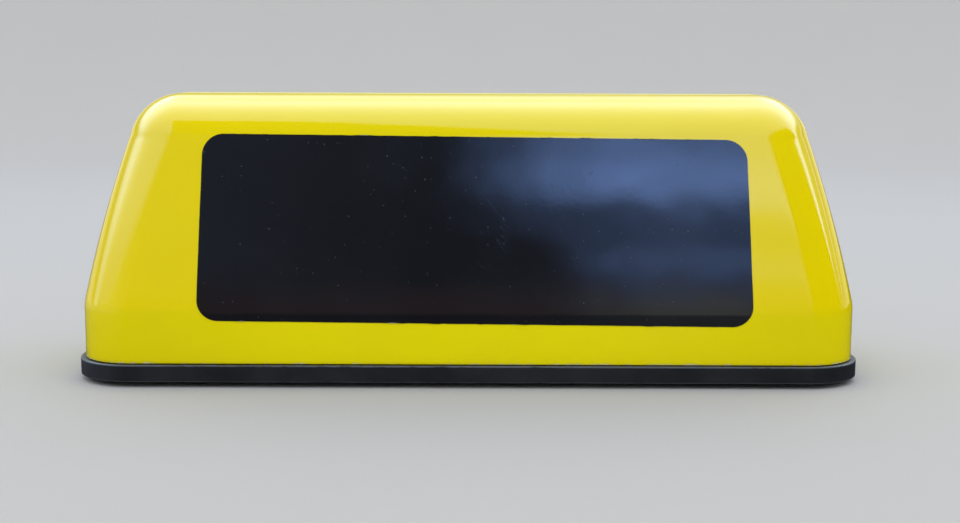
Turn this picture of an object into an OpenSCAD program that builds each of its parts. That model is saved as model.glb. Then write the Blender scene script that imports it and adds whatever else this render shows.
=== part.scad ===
// Illuminated taxi roof sign on magnet feet.
// The hood lifts straight up off the base once its four screws are out of the way.
// Frame: X along the sign, across the car; -Y the front face; +Z up.
// Origin: middle of the footprint, on the plane of the magnet faces.

/* [Overall] */
// Width over the base band
base_width = 420; // [380:1:460]
// Depth over the base band
base_depth = 130; // [124:1:150]
// Height from the magnet faces to the top of the hood
sign_height = 152.6; // [148:0.1:170]

/* [Hood] */
// Wall thickness of the hood
hood_wall = 2.5; // [2:0.1:3.5]
// How far the base band stands out past the hood, all round
ledge = 2.8; // [2:0.1:4]
// Plan radius of the hood's upright corners
corner_r = 28.5; // [27:0.5:32]
// Height where the upright skirt turns into the sloped faces
crease_z = 41.2; // [38:0.1:48]
// Radius of the rounding along the top edges
top_r = 30; // [27:1:34]
// How far the top rounding's centre lies inboard of the skirt
top_inset = 51; // [48:0.5:54]
// How far the sloped ends bulge past flat
end_crown = 1.5; // [0:0.1:2]
// How far the sloped front and back bulge past flat
face_crown = 0.6; // [0:0.1:1]

/* [Display film] */
// Width of the black film on each face
film_width = 289.5; // [200:0.5:292]
// Height of the lower edge of the film
film_bottom = 34; // [30:0.5:60]
// Height of the upper edge of the film
film_top = 130.5; // [90:0.5:131]
// Corner radius of the film
film_corner = 11; // [4:1:20]
// Thickness of the film
film_t = 0.3; // [0.2:0.05:0.5]
// Sideways offset of the hand-laid front film
film_shift = 3; // [0:0.5:5]
// Turn of the hand-laid front film, in degrees
film_turn = 0.5; // [0:0.1:1]

/* [Base] */
// Height of the visible band of the base
band_height = 9; // [8:0.5:14]
// Wall thickness of the base moulding
base_wall = 2.5; // [2:0.1:3]
// Gap under the band when the sign stands on its magnets
foot_height = 3; // [2:0.5:3]
// Height of the locating rim above the deck
rim_height = 10; // [8:1:10]
// Thickness of the seal behind the hood's lower lip
seal_t = 1.2; // [0.8:0.1:2]

/* [Magnets] */
// Radius of the rubber boot of a magnet foot
boot_r = 21.5; // [18:0.5:24]
// Distance of the magnets from the middle, along the sign
magnet_x = 140; // [135:1:145]
// Distance of the magnets from the middle, front to back
magnet_y = 28; // [27:1:30]

/* [Lamps] */
// Spacing of the festoon lamps
lamp_pitch = 105; // [90:1:110]
// Height of the lamp axis above the reflector plate
lamp_axis_h = 11; // [10:0.5:14]
// Radius of the cable that the grommet takes
cable_r = 3.5; // [2.5:0.1:4]

/* [Hidden] */

fit_gap = 0.5;
cut = 1;
skirt_w = base_width - 2 * ledge;
skirt_d = base_depth - 2 * ledge;
ledge_z = foot_height + band_height;
deck_bottom = ledge_z - base_wall;
hood_foot_z = ledge_z + 0.25;
rebate_z = ledge_z + seal_t + 0.1;
lip_t = 1.1;
ball_z = sign_height - top_r;

// Lean of the sloped faces: the tangent from the crease to the top rounding.
slope_run = norm([top_inset, ball_z - crease_z]);
slope = atan2(top_inset, ball_z - crease_z) - asin(top_r / slope_run);

// Where that tangent meets the rounding, as height and distance inboard of the skirt.
slope_top_z = ball_z + top_r * sin(slope);
slope_top_in = top_inset - top_r * cos(slope);
slope_top_r = top_r * cos(slope);
crown_steps = [0.12, 0.25, 0.38, 0.5, 0.62, 0.75, 0.88];

rim_inset = ledge + hood_wall + fit_gap;
rim_t = 2.2;
rim_top = ledge_z + rim_height;

// Hood screws stand in the corners, just inside the rim.
screw_shaft_r = 1.9;
screw_hole_r = 2;
screw_clear_r = 2.3;
screw_head_r = 4;
screw_head_h = 3;
screw_top = 44;
pillar_r = 5;
boss_r = 6.5;
boss_bottom = rim_top + 2;
boss_top = 58;
corner_arc = [skirt_w / 2 - corner_r, skirt_d / 2 - corner_r];
screw_at = corner_arc + (corner_r - hood_wall - fit_gap - rim_t / 2 - pillar_r) * [sqrt(0.5), sqrt(0.5)];

boot_t = 1;
boot_h = 6;
pot_neck_r = 6;
magnet_screw_r = 2;
magnet_bore_r = 2.1;
magnet_window_r = 5.5;

reflector_w = 330;
reflector_d = 64;
reflector_t = 1.5;
reflector_lip = 9;
reflector_z = ledge_z + 4;
reflector_top = reflector_z + reflector_t;
reflector_post = [lamp_pitch / 2, 25];
small_screw_r = 1.3;
small_hole_r = 1.35;

clip_t = 0.8;
clip_w = 8;
clip_x = 20.5;
clip_h = lamp_axis_h + 4.5;
clip_hole_r = 2.6;
rail_y = 14;
rail_w = 5;
rail_z = reflector_top + clip_t;
lamp_z = reflector_top + lamp_axis_h;

grommet_at = [70, 46];
grommet_neck_r = 6;
grommet_flange_r = 8.5;
grommet_flange_t = 2.5;
notch_w = 10;
notch_h = 6;

terminal_at = [112, 46];
terminal_size = [34, 12, 13];

rib_t = 2;
rib_h = 5;
cross_ribs = [-175, -105, -35, 35, 105, 175];

shell_fn = 48;
round_fn = 64;

plastic_yellow = [0.88, 0.79, 0.02];
film_black = [0.03, 0.03, 0.04];
plastic_black = [0.08, 0.08, 0.09];
rubber_black = [0.05, 0.05, 0.05];
zinc = [0.72, 0.72, 0.70];
brass = [0.78, 0.62, 0.28];
enamel_white = [0.93, 0.93, 0.90];
lamp_glass = [0.90, 0.93, 0.95, 0.4];
nylon = [0.90, 0.90, 0.84];

module at_corners(p) {
    for (sx = [-1, 1], sy = [-1, 1]) translate([sx * p.x, sy * p.y, 0]) children();
}

module rounded_outline(w, d, r) {
    square([w - 2 * r, d], center = true);
    square([w, d - 2 * r], center = true);
    at_corners([w / 2 - r, d / 2 - r]) circle(r, $fn = round_fn);
}

// A plate with the base band's outline, drawn in by inset, between two heights.
module band_plate(inset, bottom, top) {
    translate([0, 0, bottom])
        linear_extrude(top - bottom)
            rounded_outline(base_width - 2 * inset, base_depth - 2 * inset, corner_r + ledge - inset);
}

// Middle of a corner arc of the hood's outline, part of the way t up the slope.
function crown_arc(t) = [
    skirt_w / 2 - slope_top_in * t + 4 * end_crown * t * (1 - t),
    skirt_d / 2 - slope_top_in * t + 4 * face_crown * t * (1 - t)
] - crown_r(t) * [1, 1];
function crown_r(t) = corner_r + (slope_top_r - corner_r) * t;

// The hood's solid form, moved out by grow. A negative grow gives its inside.
module hood_form(grow, bottom = hood_foot_z) {
    fold_z = crease_z + grow * tan(slope / 2);
    hull() {
        at_corners(corner_arc)
            translate([0, 0, bottom]) cylinder(r = corner_r + grow, h = fold_z - bottom, $fn = shell_fn);
        for (t = crown_steps)
            at_corners(crown_arc(t))
                translate([0, 0, crease_z + (slope_top_z - crease_z) * t])
                    cylinder(r = crown_r(t) + grow / cos(slope), h = 0.01, $fn = shell_fn);
        at_corners([skirt_w / 2 - top_inset, skirt_d / 2 - top_inset])
            translate([0, 0, ball_z]) sphere(top_r + grow, $fn = shell_fn);
    }
}

module hood_bosses() {
    intersection() {
        hood_form(-hood_wall / 2, boss_bottom);
        at_corners(screw_at)
            translate([0, 0, boss_bottom]) cylinder(r = boss_r, h = boss_top - boss_bottom, $fn = round_fn);
    }
}

// Translucent shell, open below, with a screw boss in each corner.
// A rebate behind its lower lip takes the seal.
module hood() {
    color(plastic_yellow) difference() {
        union() {
            difference() {
                hood_form(0);
                hood_form(-hood_wall, hood_foot_z - cut);
            }
            hood_bosses();
        }
        band_plate(ledge + lip_t, hood_foot_z - cut, rebate_z);
        at_corners(screw_at)
            translate([0, 0, boss_bottom - cut])
                cylinder(r = screw_hole_r, h = screw_top + 2 - boss_bottom + cut, $fn = round_fn);
    }
}

// Film on the front face; it follows the slope and the fold into the skirt.
module face_film(shift, turn) {
    middle = (film_bottom + film_top) / 2;
    color(film_black) difference() {
        intersection() {
            hood_form(film_t);
            translate([shift, 0, middle]) rotate([90, turn, 0])
                linear_extrude(base_depth / 2)
                    rounded_outline(film_width, film_top - film_bottom, film_corner);
        }
        hood_form(0, hood_foot_z - cut);
    }
}

module front_film() { face_film(film_shift, film_turn); }
module rear_film() { rotate([0, 0, 180]) face_film(0, 0); }

// Flat strip on the ledge, in the rebate behind the hood's lower lip.
module hood_seal() {
    color(rubber_black) difference() {
        band_plate(ledge + lip_t + 0.1, ledge_z, ledge_z + seal_t);
        band_plate(rim_inset - 0.1, ledge_z - cut, rebate_z + cut);
    }
}

module base_shell() {
    difference() {
        band_plate(0, foot_height, ledge_z);
        band_plate(base_wall, foot_height - cut, deck_bottom);
    }
}

module base_rim() {
    difference() {
        band_plate(rim_inset, ledge_z - cut, rim_top);
        band_plate(rim_inset + rim_t, ledge_z - 2 * cut, rim_top + cut);
    }
}

module base_ribs() {
    long = base_width - base_wall;
    deep = base_depth - base_wall;
    rib_bottom = deck_bottom - rib_h;
    translate([-long / 2, -rib_t / 2, rib_bottom]) cube([long, rib_t, rib_h + cut]);
    for (x = cross_ribs)
        translate([x - rib_t / 2, -deep / 2, rib_bottom]) cube([rib_t, deep, rib_h + cut]);
}

module base_pillars() {
    at_corners(screw_at)
        translate([0, 0, ledge_z - cut])
            cylinder(r = pillar_r, h = rim_top - ledge_z + 2 * cut, $fn = round_fn);
    at_corners(reflector_post)
        translate([0, 0, ledge_z - cut]) cylinder(r = 4, h = reflector_z - ledge_z + cut, $fn = round_fn);
}

// Inverted tray: visible band, deck, locating rim, ribs and pillars in one moulding.
module base_tray() {
    color(plastic_black) difference() {
        union() {
            base_shell();
            base_rim();
            base_ribs();
            base_pillars();
        }
        at_corners(screw_at)
            translate([0, 0, foot_height]) cylinder(r = screw_clear_r, h = rim_top, $fn = round_fn);
        at_corners(reflector_post)
            translate([0, 0, ledge_z - 1.5]) cylinder(r = small_hole_r, h = 10, $fn = round_fn);
        at_corners([magnet_x, magnet_y])
            translate([0, 0, deck_bottom - cut])
                cylinder(r = magnet_bore_r, h = 2 * base_wall, $fn = round_fn);
        translate([grommet_at.x, grommet_at.y, deck_bottom - cut])
            cylinder(r = grommet_neck_r, h = 2 * base_wall, $fn = round_fn);
        translate([grommet_at.x - notch_w / 2, base_depth / 2 - 2 * base_wall, foot_height - cut])
            cube([notch_w, 3 * base_wall, notch_h - base_wall + 2 * cut]);
    }
}

// Ferrite and steel pot with a neck that stands against the deck.
module magnet() {
    pot_r = boot_r - boot_t;
    color(zinc) rotate_extrude($fn = round_fn)
        polygon([[magnet_bore_r, boot_t], [pot_r, boot_t], [pot_r, boot_h], [pot_neck_r, boot_h],
                 [pot_neck_r, deck_bottom], [magnet_bore_r, deck_bottom]]);
}

module magnet_boot() {
    pot_r = boot_r - boot_t;
    color(rubber_black) rotate_extrude($fn = round_fn)
        polygon([[magnet_window_r, 0], [boot_r - 0.8, 0], [boot_r, 0.8], [boot_r, boot_h],
                 [pot_r, boot_h], [pot_r, boot_t], [magnet_window_r, boot_t]]);
}

module magnet_screws() {
    color(zinc) at_corners([magnet_x, magnet_y]) {
        translate([0, 0, boot_t - 0.8]) cylinder(r = 4, h = 0.8, $fn = round_fn);
        translate([0, 0, boot_t - 0.4])
            cylinder(r = magnet_screw_r, h = ledge_z + 3.2 - boot_t, $fn = round_fn);
        translate([0, 0, ledge_z]) cylinder(r = 4, h = 2.4, $fn = 6);
    }
}

module hood_screw() {
    color(zinc) {
        translate([0, 0, deck_bottom - screw_head_h])
            cylinder(r = screw_head_r, h = screw_head_h, $fn = round_fn);
        translate([0, 0, deck_bottom - cut])
            cylinder(r = screw_shaft_r, h = screw_top - deck_bottom + cut, $fn = round_fn);
    }
}

// Rubber bush that the supply cable comes through.
module cable_grommet() {
    low = deck_bottom - grommet_flange_t;
    high = ledge_z + grommet_flange_t;
    color(rubber_black) translate([grommet_at.x, grommet_at.y, 0]) rotate_extrude($fn = round_fn)
        polygon([[cable_r, low], [grommet_flange_r - 1.5, low], [grommet_flange_r, deck_bottom],
                 [grommet_neck_r, deck_bottom], [grommet_neck_r, ledge_z], [grommet_flange_r, ledge_z],
                 [grommet_flange_r - 1.5, high], [cable_r, high]]);
}

// White tray that carries the lamps and throws their light up into the hood.
module reflector() {
    color(enamel_white) difference() {
        translate([-reflector_w / 2, -reflector_d / 2, reflector_z]) {
            cube([reflector_w, reflector_d, reflector_t]);
            for (y = [0, reflector_d - reflector_t])
                translate([0, y, 0]) cube([reflector_w, reflector_t, reflector_lip]);
        }
        at_corners(reflector_post)
            translate([0, 0, reflector_z - cut]) cylinder(r = 1.6, h = 2 * reflector_t + cut, $fn = round_fn);
    }
}

module reflector_screws() {
    color(zinc) at_corners(reflector_post) {
        translate([0, 0, reflector_top]) cylinder(r = 3, h = 2, $fn = round_fn);
        translate([0, 0, ledge_z - 1])
            cylinder(r = small_screw_r, h = reflector_top - ledge_z + 2, $fn = round_fn);
    }
}

// Brass strip that joins the clips on one side of all three lamps.
module rail(side) {
    length = 2 * lamp_pitch + 2 * clip_x + 2 * clip_w;
    color(brass) translate([-length / 2, side * rail_y - rail_w / 2, rail_z]) cube([length, rail_w, clip_t]);
}

// Angle of brass strip: an upright leaf with a hole for the lamp's cap, and a foot under the rail.
module lamp_clip(side) {
    foot = rail_y + rail_w / 2 + clip_w / 2;
    difference() {
        union() {
            translate([-clip_t / 2, -clip_w / 2, 0]) cube([clip_t, clip_w, clip_h]);
            translate([-clip_t / 2, side > 0 ? -clip_w / 2 : clip_w / 2 - foot, 0])
                cube([clip_w, foot, clip_t]);
        }
        translate([-clip_t, 0, lamp_axis_h]) rotate([0, 90, 0])
            cylinder(r = clip_hole_r, h = 2 * clip_t, $fn = round_fn);
    }
}

module lamp_clips() {
    color(brass) translate([0, 0, reflector_top]) {
        translate([clip_x, 0, 0]) lamp_clip(1);
        translate([-clip_x, 0, 0]) mirror([1, 0, 0]) lamp_clip(-1);
    }
}

// Festoon lamp: glass tube between two metal caps with coned ends.
module lamp() {
    half = [[0, 21], [1.6, 21], [3.6, 18.3], [3.6, 15], [4.6, 13.6], [5.2, 11.5]];
    other = [for (i = [len(half) - 1:-1:0]) [half[i].x, -half[i].y]];
    color(lamp_glass) translate([0, 0, lamp_z]) rotate([0, 90, 0]) rotate_extrude($fn = round_fn)
        polygon(concat(half, other));
}

module terminal_block() {
    s = terminal_size;
    color(nylon) translate([terminal_at.x - s.x / 2, terminal_at.y - s.y / 2, ledge_z]) difference() {
        union() {
            cube([s.x, s.y, s.z - 4]);
            for (i = [0:2]) translate([1 + i * 11, 2.5, 0]) cube([10, s.y - 5, s.z]);
        }
        for (i = [0:2]) translate([6 + i * 11, s.y / 2, s.z - 5]) cylinder(r = 2, h = 6, $fn = round_fn);
    }
}

hood();
front_film();
rear_film();
hood_seal();
base_tray();
magnet_screws();
cable_grommet();
reflector();
reflector_screws();
rail(-1);  // live_rail
rail(1);  // earth_rail
terminal_block();

for (y = [["front", -1], ["rear", 1]], x = [["left", -1], ["right", 1]]) {
    corner = str(y[0], "_", x[0]);
    translate([x[1] * magnet_x, y[1] * magnet_y, 0]) magnet();
    translate([x[1] * magnet_x, y[1] * magnet_y, 0]) magnet_boot();
    translate([x[1] * screw_at.x, y[1] * screw_at.y, 0]) hood_screw();
}

for (p = [["left", -1], ["centre", 0], ["right", 1]]) {
    translate([p[1] * lamp_pitch, 0, 0]) lamp();
    translate([p[1] * lamp_pitch, 0, 0]) lamp_clips();
}
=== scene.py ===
"""Taxi roof sign on magnet feet: the pieces that show, their finishes, and the studio around them."""
import math

import bmesh
import bpy
from mathutils import Matrix, Vector


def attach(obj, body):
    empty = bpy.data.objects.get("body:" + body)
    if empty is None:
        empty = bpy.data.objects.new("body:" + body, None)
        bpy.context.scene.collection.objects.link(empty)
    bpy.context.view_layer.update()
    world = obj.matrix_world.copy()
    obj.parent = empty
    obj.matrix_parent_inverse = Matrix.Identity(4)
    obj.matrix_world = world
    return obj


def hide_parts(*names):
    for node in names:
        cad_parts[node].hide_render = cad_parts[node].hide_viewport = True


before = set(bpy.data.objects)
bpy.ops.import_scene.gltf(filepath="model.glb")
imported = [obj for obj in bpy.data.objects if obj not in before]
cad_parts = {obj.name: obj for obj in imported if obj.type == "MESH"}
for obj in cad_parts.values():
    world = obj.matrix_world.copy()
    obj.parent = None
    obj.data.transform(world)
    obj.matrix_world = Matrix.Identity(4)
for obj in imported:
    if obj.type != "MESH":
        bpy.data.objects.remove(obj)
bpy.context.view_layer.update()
scene = bpy.context.scene
MM = 0.001
QUARTER = math.pi / 2

# ---------------------------------------------------------------- sizes, in millimetres
BASE_W, BASE_D = 420.0, 130.0
FOOT_Z, DECK_Z, WALL = 3.0, 9.5, 2.5
LEDGE, LEDGE_Z = 2.8, 12.0
RIM_TOP, RIM_INSET, RIM_T = 22.0, LEDGE + 3.0, 2.2
HOOD_W, HOOD_D = BASE_W - 2 * LEDGE, BASE_D - 2 * LEDGE
HOOD_FOOT, HOOD_TOP, HOOD_WALL = 12.25, 152.6, 2.5
REBATE_Z, LIP_T = 13.3, 1.1
CORNER_R = 28.5
BAND_R = CORNER_R + LEDGE
FOLD_Z, FOLD_EASE = 41.2, 2.6
TOP_R, TOP_INSET = 30.0, 51.0
BALL_Z = HOOD_TOP - TOP_R
END_CROWN, FACE_CROWN = 1.5, 0.6
FILM_W, FILM_LOW, FILM_HIGH, FILM_CORNER, FILM_T = 289.5, 34.0, 130.5, 11.0, 0.3
FILM_SHIFT, FILM_TURN = 3.0, math.radians(0.5)
FILM_LEAN, FILM_FLARE, FILM_WAVER = 0.0125, 0.0068, 0.4
SCREW_X, SCREW_Y = 192.42, 47.42
MAGNET_X, MAGNET_Y = 140.0, 28.0
POST_X, POST_Y, POST_TOP = 52.5, 25.0, 16.0
BUSH_X, BUSH_Y, BUSH_HOLE = 70.0, 46.0, 6.0
TRAY_HALF_W, TRAY_HALF_D, TRAY_T, TRAY_TOP = 165.0, 32.0, 1.5, 25.0
CLIP_FOOT_Z, CLIP_T, CLIP_HALF_W, CLIP_TOP, CLIP_OUT = 17.5, 0.8, 4.0, 33.0, 20.5
RAIL_HALF, RAIL_Y, RAIL_W = 133.5, 14.0, 5.0
RAIL_Z = CLIP_FOOT_Z + CLIP_T
LAMP_X, LAMP_Z = 105.0, 28.5
TERMINALS, TERMINAL_Y, TERMINAL_Z = (101, 112, 123), 46.0, 16.5
CORNERS = [(f"{fore}_{side}", sx, sy) for fore, sy in (("front", -1), ("rear", 1))
           for side, sx in (("left", -1), ("right", 1))]


def at_corners(x, y):
    return [(sx * x, sy * y, 0) for _, sx, sy in CORNERS]


# ---------------------------------------------------------------- camera
def set_camera():
    """At the height of the sign's top and a little above, looking slightly down at the front face."""
    frame_width, focal, shift = 960, 1432.4, 11.2
    away, height = 0.8, 0.1685
    yaw, pitch, roll = 0.00237, 0.1367, 0.00379
    data = bpy.data.cameras.new("camera")
    data.sensor_width = 36.0
    data.lens = data.sensor_width * focal / frame_width
    data.shift_x = shift / frame_width
    data.clip_start, data.clip_end = 0.02, 50
    data.dof.use_dof = False
    camera = bpy.data.objects.new("camera", data)
    scene.collection.objects.link(camera)
    camera.location = (-away * math.sin(yaw), -away * math.cos(yaw), height)
    camera.rotation_mode = "XYZ"
    aim = (Matrix.Rotation(-yaw, 3, "Z") @ Matrix.Rotation(QUARTER - pitch, 3, "X")
           @ Matrix.Rotation(roll, 3, "Z"))
    camera.rotation_euler = aim.to_euler("XYZ")
    scene.camera = camera


set_camera()
scene.view_settings.view_transform = "Standard"
scene.view_settings.look = "None"


# ---------------------------------------------------------------- node trees
class Bench:
    """A node tree being put together."""

    def __init__(self, tree):
        self.tree = tree

    def put(self, kind, feeds=None, **settings):
        node = self.tree.nodes.new(kind)
        for key, value in settings.items():
            setattr(node, key, value)
        for key, value in (feeds or {}).items():
            self.feed(node.inputs[key], value)
        return node

    def feed(self, socket, value):
        """Links an output, or a node's first one, or sets a number, a place or a colour of three parts."""
        if isinstance(value, bpy.types.Node):
            value = value.outputs[0]
        if isinstance(value, bpy.types.NodeSocket):
            self.tree.links.new(value, socket)
        elif socket.type == "RGBA":
            socket.default_value = (*value, 1.0)
        else:
            socket.default_value = value

    def math(self, operation, *values):
        return self.put("ShaderNodeMath", dict(enumerate(values)), operation=operation).outputs[0]

    def plus(self, a, b):
        return self.math("ADD", a, b)

    def less(self, a, b):
        return self.math("SUBTRACT", a, b)

    def times(self, a, b):
        return self.math("MULTIPLY", a, b)

    def vector(self, operation, *values):
        return self.put("ShaderNodeVectorMath", dict(enumerate(values)), operation=operation).outputs[0]

    def scaled(self, vector, scale):
        return self.put("ShaderNodeVectorMath", {"Vector": vector, "Scale": scale}, operation="SCALE").outputs[0]

    def parts(self, vector):
        return self.put("ShaderNodeSeparateXYZ", {0: vector}).outputs

    def spot(self, x=0.0, y=0.0, z=0.0):
        return self.put("ShaderNodeCombineXYZ", {0: x, 1: y, 2: z}).outputs[0]

    def remap(self, value, low, high, to_low=0.0, to_high=1.0):
        """Eases a value from one range into another, and holds it there."""
        return self.put("ShaderNodeMapRange", {
            "Value": value, "From Min": low, "From Max": high, "To Min": to_low, "To Max": to_high},
            interpolation_type="SMOOTHSTEP").outputs["Result"]

    def curve(self, value, points):
        """A smooth rule through a few points, each from 0 to 1."""
        node = self.put("ShaderNodeFloatCurve", {"Value": value})
        line = node.mapping.curves[0]
        line.points[0].location, line.points[-1].location = points[0], points[-1]
        for x, y in points[1:-1]:
            line.points.new(x, y)
        for point in line.points:
            point.handle_type = "AUTO_CLAMPED"
        node.mapping.update()
        return node.outputs[0]

    def mix(self, share, a, b):
        return self.put("ShaderNodeMix", {0: share, 6: a, 7: b}, data_type="RGBA").outputs[2]

    def noise(self, place, scale, detail=2.0, roughness=0.5, seed=None):
        feeds = {"Vector": place, "Scale": scale, "Detail": detail, "Roughness": roughness}
        if seed is None:
            return self.put("ShaderNodeTexNoise", feeds).outputs[0]
        return self.put("ShaderNodeTexNoise", {**feeds, "W": seed}, noise_dimensions="4D").outputs[0]


def new_tree(name, kind, takes, gives):
    """A named tree with its own inputs and outputs, and the bench to fill it on."""
    tree = bpy.data.node_groups.new(name, kind)
    for in_out, sockets in (("INPUT", takes), ("OUTPUT", gives)):
        for label, sort in sockets.items():
            tree.interface.new_socket(label, in_out=in_out, socket_type="NodeSocket" + sort.title())
    ins = tree.nodes.new("NodeGroupInput").outputs
    outs = tree.nodes.new("NodeGroupOutput").inputs
    return tree, Bench(tree), ins, outs


def mm_points(points):
    return [tuple(c * MM for c in p) for p in points]


# ---------------------------------------------------------------- geometry trees
def geometry_tree(wire, name, takes):
    """A tree wired up by a function of its bench and inputs. Each ends the same way: instances made real,
    and the finish set."""
    takes = {**takes, "Finish": "material"}
    tree, b, ins, outs = new_tree(name, "GeometryNodeTree", takes, {"Piece": "geometry"})
    real = b.put("GeometryNodeRealizeInstances", {0: wire(b, ins)})
    b.feed(outs[0], b.put("GeometryNodeSetMaterial", {"Geometry": real, "Material": ins["Finish"]}))
    return tree


def wire_outline_sweep(b, ins):
    """Carries a section around a rounded rectangle. Each point of the section holds how far it lies
    inboard at the ends (x) and at the faces (y), its height (z), its plan radius and its wear."""
    rows = b.put("GeometryNodeAttributeDomainSize", {"Geometry": ins["Section"]}).outputs["Point Count"]
    closed = b.plus(ins["Closed Section"], 0.0)
    last_row = b.plus(b.less(rows, 1.0), closed)
    per_corner = b.plus(ins["Corner Steps"], 1.0)
    last_column = b.times(per_corner, 4.0)
    grid = b.put("GeometryNodeMeshGrid", {
        "Size X": last_column, "Size Y": last_row,
        "Vertices X": b.plus(last_column, 1.0), "Vertices Y": b.plus(last_row, 1.0)})
    position = b.put("GeometryNodeInputPosition")
    place = b.parts(position)
    column = b.math("ROUND", b.plus(place[0], b.times(last_column, 0.5)))
    row = b.math("ROUND", b.plus(place[1], b.times(last_row, 0.5)))
    row = b.math("MODULO", row, rows)
    quarter = b.math("FLOOR", b.math("DIVIDE", b.plus(column, 0.01), per_corner))
    step = b.less(column, b.times(quarter, per_corner))
    turn = b.times(b.plus(quarter, b.math("DIVIDE", step, ins["Corner Steps"])), QUARTER)
    facing = b.plus(b.times(quarter, QUARTER), QUARTER / 2)

    def along_section(kind, value):
        node = b.put("GeometryNodeSampleIndex", {"Geometry": ins["Section"], "Index": row},
                     data_type=kind, domain="POINT")
        b.feed(node.inputs["Value"], value)
        return node.outputs[0]

    def stored(name):
        node = b.put("GeometryNodeInputNamedAttribute", {"Name": name}, data_type="FLOAT")
        return node.outputs["Attribute"]

    point = b.parts(along_section("FLOAT_VECTOR", position))
    radius = along_section("FLOAT", stored("plan_radius"))
    across = []
    for size, inboard, wave in ((ins["Width"], point[0], "COSINE"), (ins["Depth"], point[1], "SINE")):
        centre = b.less(b.less(b.times(size, 0.5), inboard), radius)
        side = b.math("SIGN", b.math(wave, facing))
        across.append(b.plus(b.times(side, centre), b.times(radius, b.math(wave, turn))))
    worn = b.put("GeometryNodeStoreNamedAttribute", {"Geometry": grid.outputs["Mesh"], "Name": "edge"},
                 data_type="FLOAT", domain="POINT")
    b.feed(worn.inputs["Value"], along_section("FLOAT", stored("edge")))
    shaped = b.put("GeometryNodeSetPosition", {
        "Geometry": worn, "Position": b.spot(across[0], across[1], point[2])})
    return b.put("GeometryNodeMergeByDistance", {"Geometry": shaped, "Distance": 2e-6})


def wire_set_out(b, ins):
    """Puts a copy of a pattern piece at each point, with a seeded turn about Z."""
    info = b.put("GeometryNodeObjectInfo", {"Object": ins["Pattern"]})
    spread = b.put("FunctionNodeRandomValue", {"Seed": ins["Seed"]}, data_type="FLOAT")
    b.feed(spread.inputs[2], b.times(ins["Turn Spread"], -1.0))
    b.feed(spread.inputs[3], ins["Turn Spread"])
    return b.put("GeometryNodeInstanceOnPoints", {
        "Points": ins["Points"], "Instance": info.outputs["Geometry"],
        "Rotation": b.spot(z=spread.outputs[1])})


def wire_laid_film(b, ins):
    """A rounded sheet of film held in front of a face and pressed back until it meets the hood."""
    grid = b.put("GeometryNodeMeshGrid", {"Size X": 2.0, "Size Y": 2.0, "Vertices X": 140, "Vertices Y": 170})
    u, v, _ = b.parts(b.put("GeometryNodeInputPosition"))
    # Rows crowd towards the top and bottom, where the corners curve fastest.
    near = b.less(1.0, b.math("ABSOLUTE", v))
    rise = b.times(b.math("SIGN", v), b.less(1.0, b.times(near, near)))
    half_h = b.times(ins["Height"], 0.5)
    h = b.times(rise, half_h)
    corner = ins["Corner"]
    into = b.math("MAXIMUM", b.less(b.math("ABSOLUTE", h), b.less(half_h, corner)), 0.0)
    left = b.less(b.times(corner, corner), b.times(into, into))
    cut = b.less(corner, b.math("SQRT", b.math("MAXIMUM", left, 0.0)))
    x = b.times(u, b.less(b.times(ins["Width"], 0.5), cut))
    # A hand-cut sheet is a little out of square, and its edge wanders by a fraction of a millimetre.
    x = b.times(x, b.less(1.0, b.times(rise, ins["Flare"])))
    x = b.less(x, b.times(h, ins["Lean"]))
    waver = b.noise(b.spot(x, h), 60.0, seed=ins["Seed"])
    off = b.times(b.less(waver, 0.5), ins["Edge Waver"])
    wandering = []
    for along, where in ((x, u), (h, v)):
        rim = b.math("POWER", b.math("ABSOLUTE", where), 30.0)
        wandering.append(b.plus(along, b.times(b.times(off, rim), b.math("SIGN", where))))
    flat = b.spot(wandering[0], 0.0, wandering[1])
    turned = b.put("ShaderNodeVectorRotate", {"Vector": flat, "Angle": ins["Turn"]}, rotation_type="Y_AXIS")
    there = b.parts(b.vector("ADD", turned, ins["Middle"]))
    hood = b.put("GeometryNodeObjectInfo", {"Object": ins["Hood"]})
    ray = b.put("GeometryNodeRaycast", {
        "Target Geometry": hood.outputs["Geometry"],
        "Source Position": b.spot(there[0], b.times(ins["Side"], 0.2), there[2]),
        "Ray Direction": b.spot(y=b.times(ins["Side"], -1.0)), "Ray Length": 0.3})
    lift = b.scaled(ray.outputs["Hit Normal"], ins["Stand Off"])
    return b.put("GeometryNodeSetPosition", {
        "Geometry": grid, "Position": b.vector("ADD", ray.outputs["Hit Position"], lift)})


def wire_coil(b, ins):
    """A lamp's coiled filament, lying along X."""
    spiral = b.put("GeometryNodeCurveSpiral", {
        "Resolution": 10, "Rotations": ins["Turns"], "Start Radius": ins["Coil Radius"],
        "End Radius": ins["Coil Radius"], "Height": ins["Length"]})
    ring = b.put("GeometryNodeCurvePrimitiveCircle", {"Resolution": 5, "Radius": ins["Wire Radius"]})
    wire = b.put("GeometryNodeCurveToMesh", {"Curve": spiral, "Profile Curve": ring, "Fill Caps": True})
    centred = b.put("GeometryNodeTransform", {
        "Geometry": wire, "Translation": b.spot(z=b.times(ins["Length"], -0.5))})
    return b.put("GeometryNodeTransform", {
        "Geometry": centred, "Rotation": (0.0, QUARTER, 0.0), "Translation": ins["Middle"]})


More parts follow.
